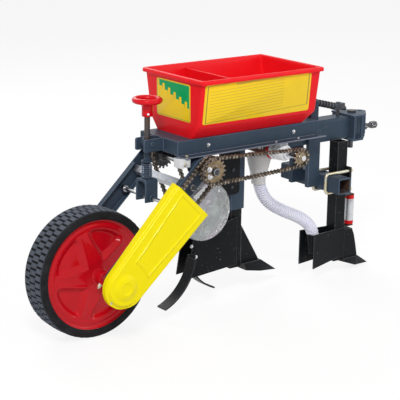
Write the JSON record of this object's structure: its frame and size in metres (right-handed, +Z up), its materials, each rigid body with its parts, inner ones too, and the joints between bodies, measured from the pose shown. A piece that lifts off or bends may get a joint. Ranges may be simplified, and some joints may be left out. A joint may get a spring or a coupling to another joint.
{
  "type": "row seeder",
  "caption": "Towed row seeder: spoked-dish drive wheel on a sprung screw-set arm, twin-bin hopper on a steel tray, seed meter, fertiliser hose and openers, front hitch.",
  "frame": {"origin": "middle of the machine's footprint box, on the ground, with the machine parked on its wheel and fertiliser point", "axes": "+X towards the hitch, along the way it is drawn; +Y its left side; +Z up"},
  "size_m": [1.2978, 0.338, 0.7059],
  "materials": {
    "hopper_red": "gloss moulded red",
    "wheel_red": "gloss paint",
    "tyre_rubber": "ribbed solid rubber",
    "cover_yellow": "gloss paint",
    "handwheel_red": "gloss",
    "roller_red": "gloss",
    "frame_slate": "satin paint",
    "black_paint": "satin paint",
    "white_plastic": "satin",
    "clear_plastic": "clear moulded",
    "hose_white": "translucent ribbed",
    "bright_steel": "machined",
    "dark_steel": "oiled",
    "zinc_yellow": "zinc plated"
  },
  "bodies": {
    "frame": {"hopper": "hopper_red", "frame_tray": "frame_slate", "side_rails": "frame_slate", "shaft_hangers": "frame_slate", "middle_post": "frame_slate", "drawbar": "frame_slate", "front_posts": "frame_slate", "tool_bar": "frame_slate", "stay_post": "frame_slate", "stay_rod": "bright_steel", "meter_housing": "white_plastic", "meter_cover": "clear_plastic", "seed_chute": "white_plastic", "seed_gate": "white_plastic", "meter_bracket": "black_paint", "seed_shank": "black_paint", "seed_boot": "black_paint", "seed_share": "black_paint", "coverers": "black_paint", "fertiliser_meter": "white_plastic", "fertiliser_cup": "white_plastic", "shaft_bracket": "bright_steel", "fertiliser_hose": "hose_white", "fertiliser_shank": "black_paint", "fertiliser_wings": "black_paint", "fertiliser_funnel": "white_plastic", "shin_plate": "black_paint", "fertiliser_share": "black_paint", "roller_bracket": "black_paint", "clamp_plate": "black_paint", "u_bolts": "zinc_yellow", "hitch_bracket": "frame_slate", "king_pin": "bright_steel", "front_chain": "dark_steel", "meter_chain": "dark_steel"},
    "wheel_arms": {"right_arm": "frame_slate", "left_arm": "frame_slate", "arm_cross_bars": "bright_steel", "wheel_chain": "dark_steel", "chain_cover": "cover_yellow"},
    "ground_wheel": {"tyre": "tyre_rubber", "wheel_disc": "wheel_red", "wheel_axle": "bright_steel", "wheel_sprocket": "dark_steel"},
    "middle_axle": {"middle_shaft": "bright_steel", "middle_sprockets": "dark_steel"},
    "front_axle": {"front_shaft": "bright_steel", "front_sprocket": "dark_steel"},
    "meter_rotor": {"seed_disc": "white_plastic", "meter_sprocket": "dark_steel"},
    "screw_trunnion": {"trunnion": "black_paint"},
    "screw": {"depth_screw": "bright_steel", "screw_spring": "dark_steel", "handwheel": "handwheel_red", "screw_clevis": "frame_slate"},
    "yoke": {"hitch_yoke": "frame_slate", "set_bolt": "bright_steel"},
    "roller": {"stubble_roller": "roller_red"}
  },
  "joints": [
    {"name": "arm_lift", "type": "hinge", "parent": "frame", "child": "wheel_arms", "pos_m": [-0.15338, 0.023, 0.45691], "axis": [0, 1, 0], "range_deg": [-8, 12]},
    {"name": "wheel_spin", "type": "hinge", "parent": "wheel_arms", "child": "ground_wheel", "pos_m": [-0.46388, 0.023, 0.185], "axis": [0, 1, 0], "continuous": true},
    {"name": "middle_turn", "type": "hinge", "parent": "frame", "child": "middle_axle", "pos_m": [-0.15338, 0.023, 0.45691], "axis": [0, 1, 0], "continuous": true},
    {"name": "front_turn", "type": "hinge", "parent": "frame", "child": "front_axle", "pos_m": [0.1699, 0.023, 0.44217], "axis": [0, 1, 0], "continuous": true},
    {"name": "meter_turn", "type": "hinge", "parent": "frame", "child": "meter_rotor", "pos_m": [-0.09438, 0.023, 0.30272], "axis": [0, 1, 0], "continuous": true},
    {"name": "trunnion_tilt", "type": "hinge", "parent": "frame", "child": "screw_trunnion", "pos_m": [-0.2531, 0.023, 0.52038], "axis": [0, 1, 0], "range_deg": [-6, 9]},
    {"name": "screw_slide", "type": "slide", "parent": "screw_trunnion", "child": "screw", "axis": [0.0347, 0, 0.9994], "range_m": [-0.016, 0.024]},
    {"name": "hitch_swivel", "type": "hinge", "parent": "frame", "child": "yoke", "pos_m": [0.541, 0.023, 0.45226], "axis": [0.0347, 0, 0.9994], "range_deg": [-15, 15]},
    {"name": "roller_turn", "type": "hinge", "parent": "frame", "child": "roller", "pos_m": [0.48903, -0.03, 0.19491], "axis": [0.0347, 0, 0.9994], "continuous": true}
  ],
  "couplings": [
    {"joint": "middle_turn", "follows": "wheel_spin", "ratio": 0.88889},
    {"joint": "front_turn", "follows": "wheel_spin", "ratio": 1.3333},
    {"joint": "meter_turn", "follows": "wheel_spin", "ratio": 0.88889},
    {"joint": "trunnion_tilt", "follows": "arm_lift", "ratio": 0.6235},
    {"joint": "screw_slide", "follows": "arm_lift", "m_per_rad": 0.10354}
  ]
}
